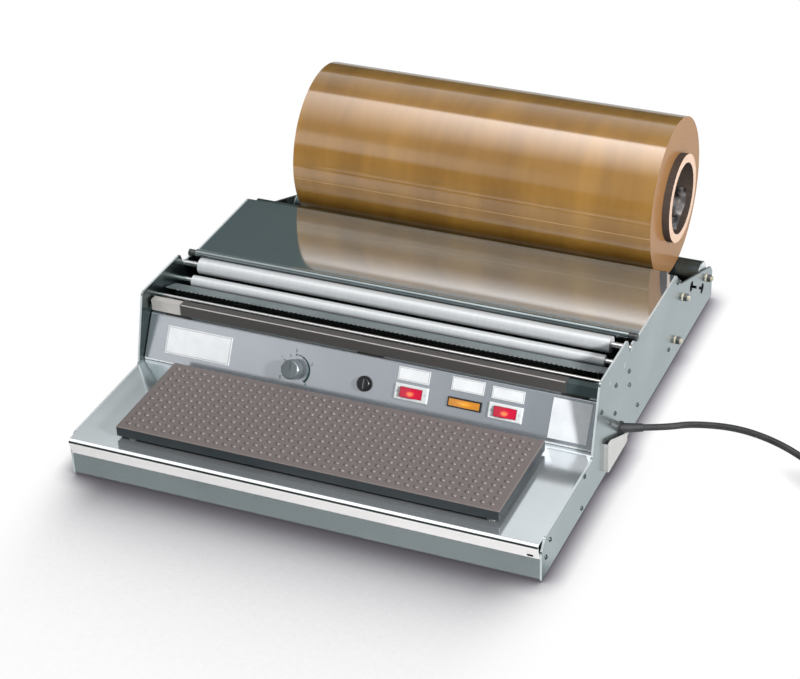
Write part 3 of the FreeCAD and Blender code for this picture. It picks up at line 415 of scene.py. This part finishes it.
# Material of each node
finish = {
    "side_panel_right": panel_steel, "side_panel_left": panel_steel, "tray": tray_steel,
    "control_fascia": fascia_steel, "cord_guard": guard_steel, "top_plate": mirror_steel,
    "bottom_plate": inner_shade_steel, "rear_bulkhead": inner_shade_steel, "rear_cross_member": inner_shade_steel,
    "well_pan": dark_steel, "blade_plate": zinc_steel, "cutter_blade": blade_steel,
    "feet": foot_rubber, "hot_plate": plate_coat, "hot_plate_heater": heater_mat,
    "hot_plate_spacers": ceramic, "seal_bar_blocks": bar_block_shade, "seal_bar": bar_painted_reflection,
    "seal_bar_cover": tape, "seal_bar_heater": bright_steel, "film_rod": bright_steel,
    "plate_rod": bolt_metal, "guide_roller_front": roller_aluminium, "guide_roller_back": roller_aluminium,
    "guide_axle_front": bright_steel, "guide_axle_back": bright_steel,
    "support_roller_front": roller_zinc, "support_roller_back": roller_zinc,
    "support_hubs_front": edge_highlight_and_hub_silver, "support_hubs_back": edge_highlight_and_hub_silver,
    "support_axle_front": bright_steel, "support_axle_back": bright_steel, "tie_rod": bright_steel,
    "axle_bolts": brass_metal, "axle_nuts": bolt_metal, "axle_washers": brass_metal, "film_roll": film,
    "film_core": board, "thermostat_body": black_plastic, "thermostat_nut": bright_steel,
    "thermostat_shaft": bright_steel, "thermostat_knob": knob_metal, "fuse_holder": black_plastic,
    "fuse_nut": black_plastic, "fuse_cap": black_plastic, "fuse_link": white_plastic,
    "switch_cutter_housing": white_plastic, "switch_plate_housing": white_plastic,
    "switch_cutter_rocker": red_rocker, "switch_plate_rocker": red_rocker, "lamp_housing": black_plastic,
    "lamp_lens": amber_lens, "cord_grommet": black_rubber, "terminal_block": white_plastic,
    "mains_plug": black_rubber, "power_cord": black_rubber, "cord_coil": black_rubber,
}
for name, look in finish.items():
    nodes[name].data.materials.clear()
    nodes[name].data.materials.append(look)


def second_look(name, look, chosen):
    """Another finish on the faces of a node that the test picks."""
    mesh = nodes[name].data
    mesh.materials.append(look)
    added = len(mesh.materials) - 1
    for polygon in mesh.polygons:
        if chosen(polygon):
            polygon.material_index = added


def from_skirt(polygon):
    """How far a face's middle lies behind the front skirt, in millimetres."""
    return polygon.center.y * 1000 - back_shift


def height(polygon):
    """Height of a face's middle over the table, in millimetres."""
    return polygon.center.z * 1000


# Top plate: painted dark reflection on its curl in front of the curl's middle, and painted shade in the last
# millimetres before its rear bend
curl_foot = 100
curl_line = 266 - 0.001
rear_margin = 4
plate_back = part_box("top_plate")[1].y * 1000 - back_shift - rear_margin
second_look("top_plate", curl_painted_reflection, lambda polygon: height(polygon) > curl_foot
            and not curl_line < from_skirt(polygon) < plate_back)
# Sealing plate: painted shade on its sides
second_look("hot_plate", plate_side_shade, lambda polygon: polygon.normal.z < 0.3)

# Tray: painted light on the bevel under the nose, and a painted highlight line and a painted shade line along
# the rolled edge
bevel_foot = 20
rolled_edge = -2
second_look("tray", bevel_painted_light, lambda polygon: height(polygon) > bevel_foot and polygon.normal.y < -0.7
            and -0.6 < polygon.normal.z < -0.25)
second_look("tray", highlight_steel, lambda polygon: from_skirt(polygon) < rolled_edge
            and 0.5 < polygon.normal.z < 0.99)
second_look("tray", roll_shade, lambda polygon: from_skirt(polygon) < rolled_edge
            and 0 < polygon.normal.z < 0.5)

# Control panel: painted highlight on faces to the front
second_look("control_fascia", highlight_steel, lambda polygon: polygon.normal.y < -0.7
            and -0.7 < polygon.normal.z < 0.4)

# Side panels: painted highlight on cut edges to the front and top, painted shade on the walls of the H-shaped
# cut-out and on the inner sides
smallest_edge = 4e-6
cut_out_top = 70
cut_out_front = 440
cut_out_back = 510
for panel in ("side_panel_left", "side_panel_right"):
    second_look(panel, edge_highlight_and_hub_silver, lambda polygon: abs(polygon.normal.x) < 0.5 and polygon.normal.y < 0.1
                and polygon.normal.z > -0.1 and polygon.area > smallest_edge)
    second_look(panel, roll_shade, lambda polygon: abs(polygon.normal.x) < 0.5
                and height(polygon) < cut_out_top and cut_out_front < from_skirt(polygon) < cut_out_back)
second_look("side_panel_left", panel_inner_shade, lambda polygon: polygon.normal.x > 0.5)
second_look("side_panel_right", panel_inner_shade, lambda polygon: polygon.normal.x < -0.5)
# Film core: painted shade on its round faces
second_look("film_core", core_shade_board, lambda polygon: abs(polygon.normal.x) < 0.5)
cord_curve.materials.append(black_rubber)

# Detail pieces. Each local frame turns (along, up, out) in millimetres into a place.
fascia_y = 147
fascia_run = 24.0
fascia_rise = 43.0
tray_top = 45
lean_y = fascia_run / math.hypot(fascia_run, fascia_rise)
lean_z = fascia_rise / math.hypot(fascia_run, fascia_rise)


def on_fascia(along, up, out):
    """Across the control panel, up its lean and out of its face."""
    return place(along, fascia_y + up * lean_y - out * lean_z, tray_top + up * lean_z + out * lean_y)


def on_right(along, up, out):
    """Back along the right side panel, up and out of its face."""
    return place(half + out, along, up)


def on_left(along, up, out):
    """Back along the left side panel, up and out of its face."""
    return place(-half - out, along, up)


def on_plate(along, up, out):
    """Across the sealing plate, back and up from its top."""
    return place(along, up, plate_top + out)


def on_roll(along, round_way, out):
    """Along the roll, round it in degrees from its top to the front, and out of its skin."""
    angle = math.radians(round_way)
    reach = film_radius + out
    return place(along, film_y - reach * math.sin(angle), film_z + reach * math.cos(angle))


class Batch:
    """Points and faces of many small shapes that become one object."""

    def __init__(self):
        self.points = []
        self.faces = []

    def add(self, points, faces):
        """One shape; its faces count from its own first point."""
        base = len(self.points)
        self.points += points
        self.faces += [[index + base for index in face] for face in faces]

    def block(self, points):
        """Solid between two ends of four corners each."""
        self.add(points, [(0, 3, 2, 1), (4, 5, 6, 7), (0, 1, 5, 4), (1, 2, 6, 5), (2, 3, 7, 6), (3, 0, 4, 7)])

    def box(self, spot, a0, a1, b0, b1, c0, c1):
        """Box from three ranges in a local frame."""
        self.block([spot(a, b, c) for c in (c0, c1) for a, b in ((a0, b0), (a1, b0), (a1, b1), (a0, b1))])

    def frame(self, spot, a0, a1, b0, b1, c0, c1, line):
        """Four thin strips round a rectangle."""
        self.box(spot, a0, a1, b0, b0 + line, c0, c1)
        self.box(spot, a0, a1, b1 - line, b1, c0, c1)
        self.box(spot, a0, a0 + line, b0 + line, b1 - line, c0, c1)
        self.box(spot, a1 - line, a1, b0 + line, b1 - line, c0, c1)

    def dome(self, spot, a, b, radius, high, sides, base=0.0):
        """Low dome; each ring is a share of the radius and of the height."""
        rings = ((1.0, 0.0), (0.84, 0.38), (0.6, 0.7), (0.3, 0.93))
        points = []
        for share, rise in rings:
            for step in range(sides):
                angle = 2 * math.pi * step / sides
                points.append(spot(a + radius * share * math.cos(angle), b + radius * share * math.sin(angle),
                                   base + high * rise))
        points.append(spot(a, b, base + high))
        faces = []
        for ring in range(len(rings) - 1):
            for step in range(sides):
                follow = (step + 1) % sides
                low = ring * sides
                faces.append((low + step, low + follow, low + sides + follow, low + sides + step))
        top = (len(rings) - 1) * sides
        faces += [(top + step, top + (step + 1) % sides, len(points) - 1) for step in range(sides)]
        faces.append(tuple(reversed(range(sides))))
        self.add(points, faces)

    def arc(self, spot, a, b, inner, outer, start, end, c0, c1, steps=24):
        """Flat band along an arc; the two radii are functions of the share of the way along it."""
        points = []
        for step in range(steps + 1):
            share = step / steps
            angle = math.radians(start + (end - start) * share)
            for radius, c in ((inner(share), c0), (outer(share), c0), (outer(share), c1), (inner(share), c1)):
                points.append(spot(a + radius * math.cos(angle), b + radius * math.sin(angle), c))
        faces = [(0, 1, 2, 3), tuple(4 * steps + index for index in (3, 2, 1, 0))]
        for step in range(steps):
            low = 4 * step
            for index in range(4):
                follow = (index + 1) % 4
                faces.append((low + index, low + 4 + index, low + 4 + follow, low + follow))
        self.add(points, faces)

    def make(self, name, look, body="chassis", smooth=False):
        """The shapes as one object that rides on a body."""
        mesh = bpy.data.meshes.new(name)
        mesh.from_pydata(self.points, [], self.faces)
        shape = bmesh.new()
        shape.from_mesh(mesh)
        bmesh.ops.recalc_face_normals(shape, faces=shape.faces)
        shape.to_mesh(mesh)
        shape.free()
        if smooth:
            mesh.polygons.foreach_set("use_smooth", [True] * len(mesh.polygons))
        mesh.materials.append(look)
        made = bpy.data.objects.new(name, mesh)
        bpy.context.collection.objects.link(made)
        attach(made, body)


# Raised dots of the sealing plate
dot_rows = 12
dot_columns = 41
dot_pitch = 9.35
dot_row_pitch = 9.3
dots_y = 73.2
dot_radius = 2.5
dot_height = 1.5
dot_sides = 12
dot_sunk = 0.05
dots = Batch()
for row in range(dot_rows):
    for column in range(dot_columns):
        across_plate = (column - (dot_columns - 1) / 2) * dot_pitch
        along_plate = dots_y + (row - (dot_rows - 1) / 2) * dot_row_pitch
        dots.dome(on_plate, across_plate, along_plate, dot_radius, dot_height, dot_sides, -dot_sunk)
dots.make("plate_dots", dot_coat, smooth=True)

# Plates on the control panel, all bare, with thin printed borders: three small ones and the label's
small_plates = ((34, 67, 33, 46), (90, 123.5, 33.7, 46.5), (131.6, 164.5, 33.5, 45.2))
label_plate = (-218, -146, 12, 40)
mark_plate = (193, 232, 7, 46)
plate_thick = 0.5
label_thick = 0.6
border_inset = 0.8
label_inset = 1
border_line = 0.3
label_line = 0.35
border_thick = 0.06
plates = Batch()
borders = Batch()


def bare_plate(edges, thick, inset, line):
    """Plate between its left, right, lower and upper edge, with a border a little way in."""
    left, right, low, high = edges
    plates.box(on_fascia, left, right, low, high, 0, thick)
    borders.frame(on_fascia, left + inset, right - inset, low + inset, high - inset,
                  thick, thick + border_thick, line)


for edges in small_plates:
    bare_plate(edges, plate_thick, border_inset, border_line)
bare_plate(label_plate, label_thick, label_inset, label_line)
plates.make("label_plates", white_plate)
borders.make("label_borders", print_grey)
silver = Batch()
silver.box(on_fascia, *mark_plate, 0, plate_thick)
silver.make("bare_plate", silver_plate)

# Painted highlight: a pale strip along the front top edge of the bar's sealing tape
bar_y = 170
bar_top = 104
highlight_half = 204
highlight_ahead = 0.7
highlight_behind = 0.2
highlight_below = 0.1
highlight_above = 0.7
highlight_batch = Batch()
highlight_batch.box(place, -highlight_half, highlight_half, bar_y - highlight_ahead, bar_y + highlight_behind,
         bar_top - highlight_below, bar_top + highlight_above)
highlight_batch.make("tape_highlight_strip", tape_pale_highlight)

# Dial: widening arc, ticks and figures round the knob
dial_x = -74
control_height = 22
print_foot = 0.02
arc_start = 95
arc_end = -45
arc_inner = 14.2
arc_thin = 0.6
arc_widening = 2.0
arc_top = 0.12
tick_angles = (215, 180, 150, 120, 95, 60, 25, -10, -45)
tick_inner = 13.0
tick_outer = 15.6
tick_half = 0.3
tick_top = 0.14
dial = Batch()
dial.arc(on_fascia, dial_x, control_height, lambda share: arc_inner,
         lambda share: arc_inner + arc_thin + arc_widening * share, arc_start, arc_end, print_foot, arc_top)


def round_knob(radius, wide, angle, out):
    """Place on the control panel at a radius and angle round the knob, moved sideways by wide."""
    along, rise = math.cos(angle), math.sin(angle)
    return on_fascia(dial_x + radius * along - wide * rise,
                     control_height + radius * rise + wide * along, out)


tick_outline = ((tick_inner, -tick_half), (tick_outer, -tick_half),
                (tick_outer, tick_half), (tick_inner, tick_half))
for angle in tick_angles:
    dial.block([round_knob(radius, wide, math.radians(angle), out) for out in (print_foot, tick_top)
                for radius, wide in tick_outline])
dial.make("dial_scale", print_black)


print_half = 0.04


def printed(text, name, along, up, out, size):
    """Small printed figure flat on the control panel, by its middle."""
    curve = bpy.data.curves.new(name, "FONT")
    curve.body = text
    curve.size = size / 1000
    curve.align_x = "CENTER"
    curve.align_y = "CENTER"
    curve.extrude = print_half / 1000
    writing = bpy.data.objects.new(name + "_writing", curve)
    mesh = bpy.data.meshes.new_from_object(writing)
    bpy.data.objects.remove(writing)
    axes = Matrix(((1, 0, 0), (0, lean_y, lean_z), (0, -lean_z, lean_y))).inverted()
    mesh.transform(Matrix.Translation(on_fascia(along, up, out)) @ axes.to_4x4())
    mesh.materials.append(print_black)
    made = bpy.data.objects.new(name, mesh)
    bpy.context.collection.objects.link(made)
    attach(made, "chassis")


figure_angles = (215, 150, 95, 25, -45)
figure_radius = 18.4
figure_out = 0.1
figure_size = 4.2
switch_xs = (50.5, 148.0)
switch_mark_x = 14.2
switch_mark_out = 2.06
switch_mark_size = 3.8
for figure, angle in enumerate(figure_angles):
    turned = math.radians(angle)
    printed(str(figure), "dial_figure_%d" % figure, dial_x + figure_radius * math.cos(turned),
            control_height + figure_radius * math.sin(turned), figure_out, figure_size)
for number, x in enumerate(switch_xs):
    printed("0", "switch_mark_off_%d" % number, x - switch_mark_x, control_height, switch_mark_out,
            switch_mark_size)
    printed("I", "switch_mark_on_%d" % number, x + switch_mark_x, control_height, switch_mark_out,
            switch_mark_size)

# Ribs round the tapered knob, each from its foot to its head, and a white bar on the fuse cap as the painted
# highlight of its slot
rib_count = 40
rib_foot, rib_foot_radius = 5.0, 9.95
rib_head, rib_head_radius = 13.4, 9.35
rib_profile = ((-0.3, -0.35), (0.28, -0.2), (0.28, 0.2), (-0.3, 0.35))
ribs = Batch()
for step in range(rib_count):
    angle = 2 * math.pi * step / rib_count
    ribs.block([round_knob(radius + deep, wide, angle, out)
                for out, radius in ((rib_foot, rib_foot_radius), (rib_head, rib_head_radius))
                for deep, wide in rib_profile])
ribs.make("knob_ribs", knob_metal, "knob")
fuse_x = 1.0
slot_half_width = 0.7
slot_half_length = 4.8
slot_floor, slot_top = 3.75, 4.1
fuse_slot_highlight = Batch()
fuse_slot_highlight.box(on_fascia, fuse_x - slot_half_width, fuse_x + slot_half_width,
             control_height - slot_half_length, control_height + slot_half_length, slot_floor, slot_top)
fuse_slot_highlight.make("fuse_cap_highlight", white_plate, "fuse_cap")

# Pan-head screws of the side panels, with crossed slots, and one larger screw with a single slot; the slots
# are black bars of painted shade
screw_places = [(378, 25), (276, 21), (186, 21), (116, 41), (109, 9), (22, 34), (11, 22),
                (246, 79), (206, 87), (248, 62), (163.5, 83), (204.5, 56), (189, 55)]
screw_radius = 2.7
screw_height = 1.3
screw_sides = 14
cross_reach = 1.3
cross_half = 0.25
cross_floor, cross_top = 1.0, 1.34
large_y = 403.5
large_z = 91.7
large_radius = 3.6
large_height = 1.8
large_sides = 16
large_slot_reach = 1.8
large_slot_half = 0.3
large_slot_floor, large_slot_top = 1.3, 1.84
screws = Batch()
slot_shade_bars = Batch()
for spot in (on_right, on_left):
    for y, z in screw_places:
        screws.dome(spot, y, z, screw_radius, screw_height, screw_sides)
        for reach_y, reach_z in ((cross_reach, cross_half), (cross_half, cross_reach)):
            slot_shade_bars.box(spot, y - reach_y, y + reach_y, z - reach_z, z + reach_z, cross_floor, cross_top)
    screws.dome(spot, large_y, large_z, large_radius, large_height, large_sides)
    slot_shade_bars.box(spot, large_y - large_slot_reach, large_y + large_slot_reach,
                large_z - large_slot_half, large_z + large_slot_half, large_slot_floor, large_slot_top)
screws.make("panel_screws", screw_metal, smooth=True)
slot_shade_bars.make("screw_slot_shade", print_black)

# Loose crumpled end of film in the core: a sheet bent round the bore, pushed inward by chance
random.seed(7)
crumple_x = 150
crumple_length = 60
crumple_start = 150
crumple_sweep = 200
crumple_radius = 36.5
crumple_depth = 9
crumple_shift = 4
calm_end = 0.6
steps_long, steps_round = 8, 14
sheet_points = []
for row in range(steps_long + 1):
    for column in range(steps_round + 1):
        angle = math.radians(crumple_start + crumple_sweep * column / steps_round)
        radius = crumple_radius - crumple_depth * random.random() * (1 if 0 < row < steps_long else calm_end)
        x = crumple_x + crumple_length * row / steps_long + crumple_shift * random.random()
        sheet_points.append(place(x, film_y + radius * math.cos(angle), film_z + radius * math.sin(angle)))
width = steps_round + 1
sheet_faces = []
for row in range(steps_long):
    for column in range(steps_round):
        first = row * width + column
        sheet_faces.append((first, first + 1, first + width + 1, first + width))
crumple = Batch()
crumple.add(sheet_points, sheet_faces)
crumple.make("film_in_core", clear_film, "film", smooth=True)

# Edge of the last turn of film along the roll, a fine line between two angles from the roll's top
edge_left = -189.8
edge_right = 209.8
edge_upper, edge_lower = 93.6, 94.3
edge_sunk = 0.1
edge_raised = 0.12
film_edge = Batch()
film_edge.box(on_roll, edge_left, edge_right, edge_upper, edge_lower, -edge_sunk, edge_raised)
film_edge.make("film_edge", film_gloss, "film")

# Floor. The camera sees it white with the object's shade, and bright surfaces mirror it darker in front.
bpy.context.scene.view_settings.view_transform = "Standard"
floor_side = 9
floor_front = -9
floor_back = 12
floor_mesh = bpy.data.meshes.new("floor")
floor_corners = [(-floor_side, floor_front, 0), (floor_side, floor_front, 0),
                 (floor_side, floor_back, 0), (-floor_side, floor_back, 0)]
floor_mesh.from_pydata(floor_corners, [], [(0, 1, 2, 3)])
floor = bpy.data.objects.new("floor", floor_mesh)
bpy.context.collection.objects.link(floor)
floor_look, tree, shader = new_material("floor_pale", (0.95, 0.95, 0.95), 0.0, 0.9)
floor_mesh.materials.append(floor_look)
source = node(tree, "ShaderNodeTexCoord")
axes = node(tree, "ShaderNodeSeparateXYZ")
tree.links.new(source.outputs["Object"], axes.inputs["Vector"])
beside = spread(tree, axes.outputs["Y"], 0, 1, -0.285, -0.24, True)
mirror = node(tree, "ShaderNodeEmission")
tree.links.new(mixed(tree, beside, (0.11, 0.14, 0.14), (0.62, 0.66, 0.67)), mirror.inputs["Color"])
rays = node(tree, "ShaderNodeLightPath")
glossy = node(tree, "ShaderNodeMixShader")
tree.links.new(rays.outputs["Is Glossy Ray"], glossy.inputs["Fac"])
tree.links.new(shader.outputs["BSDF"], glossy.inputs[1])
tree.links.new(mirror.outputs["Emission"], glossy.inputs[2])


def openness(reach, leaning):
    """Share of the sky that the floor sees within a reach, looking in a leaning direction."""
    made = node(tree, "ShaderNodeAmbientOcclusion", {"Distance": reach, "Normal": leaning})
    made.samples = 16
    return made.outputs["AO"]


# Wide soft shade in front, by how much sky the floor sees, and a narrow one round the foot
wide_reach = 0.4
narrow_reach = 0.024
wide = ramp(tree, openness(wide_reach, (0, 0.6, 0.8)), [
    (0.32, (0.085, 0.08, 0.09)), (0.465, (0.105, 0.10, 0.11)), (0.51, (0.135, 0.13, 0.145)),
    (0.595, (0.19, 0.185, 0.2)), (0.65, (0.255, 0.25, 0.265)), (0.72, (0.325, 0.32, 0.34)),
    (0.76, (0.39, 0.385, 0.405)), (0.825, (0.475, 0.47, 0.49)), (0.877, (0.59, 0.585, 0.60)),
    (0.923, (0.65, 0.645, 0.66)), (0.942, (0.76, 0.755, 0.77)), (0.96, (1, 1, 1))])
in_front = combined(tree, "MULTIPLY", spread(tree, axes.outputs["X"], 0, 1, -0.28, -0.2, True),
                    spread(tree, axes.outputs["X"], 1, 0, 0.19, 0.29, True))
in_front = combined(tree, "MULTIPLY", in_front, spread(tree, axes.outputs["Y"], 1, 0, -0.2, 0.0, True))
narrow = ramp(tree, openness(narrow_reach, (0, 0, 1)), [
    (0.45, (0.13, 0.12, 0.14)), (0.6, (0.3, 0.29, 0.32)), (0.8, (0.62, 0.61, 0.64)), (1.0, (1, 1, 1))])
table = node(tree, "ShaderNodeEmission")
tree.links.new(mixed(tree, in_front, narrow, wide), table.inputs["Color"])
seen_floor = node(tree, "ShaderNodeMixShader")
tree.links.new(rays.outputs["Is Camera Ray"], seen_floor.inputs["Fac"])
tree.links.new(glossy.outputs["Shader"], seen_floor.inputs[1])
tree.links.new(table.outputs["Emission"], seen_floor.inputs[2])
tree.links.new(seen_floor.outputs["Shader"], tree.nodes["Material Output"].inputs["Surface"])

# Studio that shiny surfaces mirror, of a card, a softbox and a wall. The camera sees white.
world = bpy.data.worlds.new("studio")
bpy.context.scene.world = world
world.use_nodes = True
tree = world.node_tree
source = node(tree, "ShaderNodeTexCoord")
axes = node(tree, "ShaderNodeSeparateXYZ")
tree.links.new(source.outputs["Generated"], axes.inputs["Vector"])

# Card in front: pale on the left, dark on the right and near the table
card = mixed(tree, spread(tree, axes.outputs["X"], 0, 1, -0.46, -0.22, True), (1.0, 0.98, 0.98),
             (0.13, 0.16, 0.17))
card = mixed(tree, spread(tree, axes.outputs["Z"], 0, 1, 0.2, 0.3, True), (0.09, 0.09, 0.09), card)

# Softbox overhead: a clear edge to the back, fading to the front, dimmer on the left
softbox = combined(tree, "MULTIPLY", spread(tree, axes.outputs["Y"], 0, 1, 0.17, 0.12),
                   spread(tree, axes.outputs["Y"], 1, 0, 0.1, -0.62))
softbox = combined(tree, "MULTIPLY", softbox, spread(tree, axes.outputs["X"], 0.35, 1, -0.46, -0.28, True))
softbox = combined(tree, "MULTIPLY", softbox, spread(tree, axes.outputs["Z"], 0, 1, 0.45, 0.8, True))
above = mixed(tree, softbox, (0.22, 0.23, 0.24), (3.9, 3.7, 3.6))
ahead = mixed(tree, spread(tree, axes.outputs["Z"], 0, 1, 0.45, 0.6, True), card, above)

# Wall behind: dark below, bright above, grey overhead
wall = mixed(tree, spread(tree, axes.outputs["Z"], 0, 1, 0.525, 0.565, True), (0.045, 0.07, 0.055),
             (0.95, 0.97, 0.98))
behind = spread(tree, axes.outputs["Y"], 0, 1, 0.2, 0.45, True)
wall = mixed(tree, spread(tree, axes.outputs["Z"], 0, 1, 0.575, 0.9), wall, (0.22, 0.23, 0.24))
rays = node(tree, "ShaderNodeLightPath")
lit = mixed(tree, rays.outputs["Is Glossy Ray"], (0.28, 0.29, 0.30), mixed(tree, behind, ahead, wall))
seen_world = mixed(tree, rays.outputs["Is Camera Ray"], lit, (1, 1, 1))
tree.links.new(seen_world, tree.nodes["Background"].inputs["Color"])


# Lamps: a small one to the right in front and a soft one overhead, which shiny surfaces don't mirror
def area_light(name, location, target, sides, power, mirrored):
    """Rectangular lamp that faces its target; metres and watts."""
    data = bpy.data.lights.new(name, "AREA")
    data.shape = "RECTANGLE"
    data.size, data.size_y = sides
    data.energy = power
    made = bpy.data.objects.new(name, data)
    bpy.context.collection.objects.link(made)
    made.location = location
    made.rotation_euler = (Vector(target) - Vector(location)).to_track_quat("-Z", "Y").to_euler()
    made.visible_glossy = mirrored


area_light("key_right", (3.0, -1.35, 1.6), (0, 0, 0.05), (0.36, 0.36), 205, True)
area_light("top_soft", (-0.53, -0.50, 1.42), (0, 0.17, 0.14), (1.5, 0.83), 9, False)
